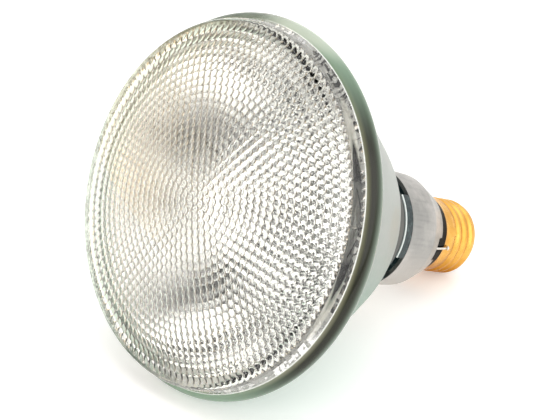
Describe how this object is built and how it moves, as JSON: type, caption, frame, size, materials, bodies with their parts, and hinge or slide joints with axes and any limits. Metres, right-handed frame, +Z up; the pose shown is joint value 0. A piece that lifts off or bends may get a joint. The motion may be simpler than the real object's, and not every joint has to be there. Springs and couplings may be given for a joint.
{
  "type": "halogen flood bulb",
  "caption": "Sealed glass reflector lamp with a stippled clear lens, a silvered bowl with a rolled rim, an aluminium skirt and a brass screw base with a centre contact.",
  "frame": {"origin": "centre of the lamp's bounding box at floor height; the lamp lies on its rim and its screw shell as on a table", "axes": "-Y the way the lens faces, +Y the way the screw base points, +Z up; the lamp's axis lies in the YZ plane with the lens end 23.5 degrees above level"},
  "size_m": [0.121, 0.1386, 0.1117],
  "materials": {
    "lens_glass": "clear pressed glass, stippled inside",
    "bowl_glass": "pale green pressed glass, silvered behind",
    "silvering": "evaporated aluminium on the bowl's inside",
    "quartz": "clear fused quartz",
    "tungsten": "dark drawn wire",
    "foil": "rolled molybdenum foil",
    "nickel": "drawn nickel",
    "skirt_metal": "drawn, satin, faintly creased",
    "ring_black": "moulded, satin black",
    "brass": "drawn and rolled, bright",
    "black_glass": "fused black glass",
    "solder": "tinned, dull"
  },
  "bodies": {
    "root": {"front_lens": "lens_glass", "reflector_bowl": "bowl_glass", "capsule_envelope": "quartz", "filament": "tungsten", "foil_left": "foil", "foil_right": "foil", "burner_lead_left": "nickel", "burner_lead_right": "nickel", "support_post_left": "nickel", "support_post_right": "nickel", "ferrule_left": "nickel", "ferrule_right": "nickel", "skirt": "skirt_metal", "insulator_ring": "ring_black", "screw_shell": "brass", "tip_insulator": "black_glass", "center_contact": "brass", "contact_solder": "solder", "center_wire": "nickel", "side_wire": "nickel", "side_weld": "solder"}
  },
  "joints": []
}
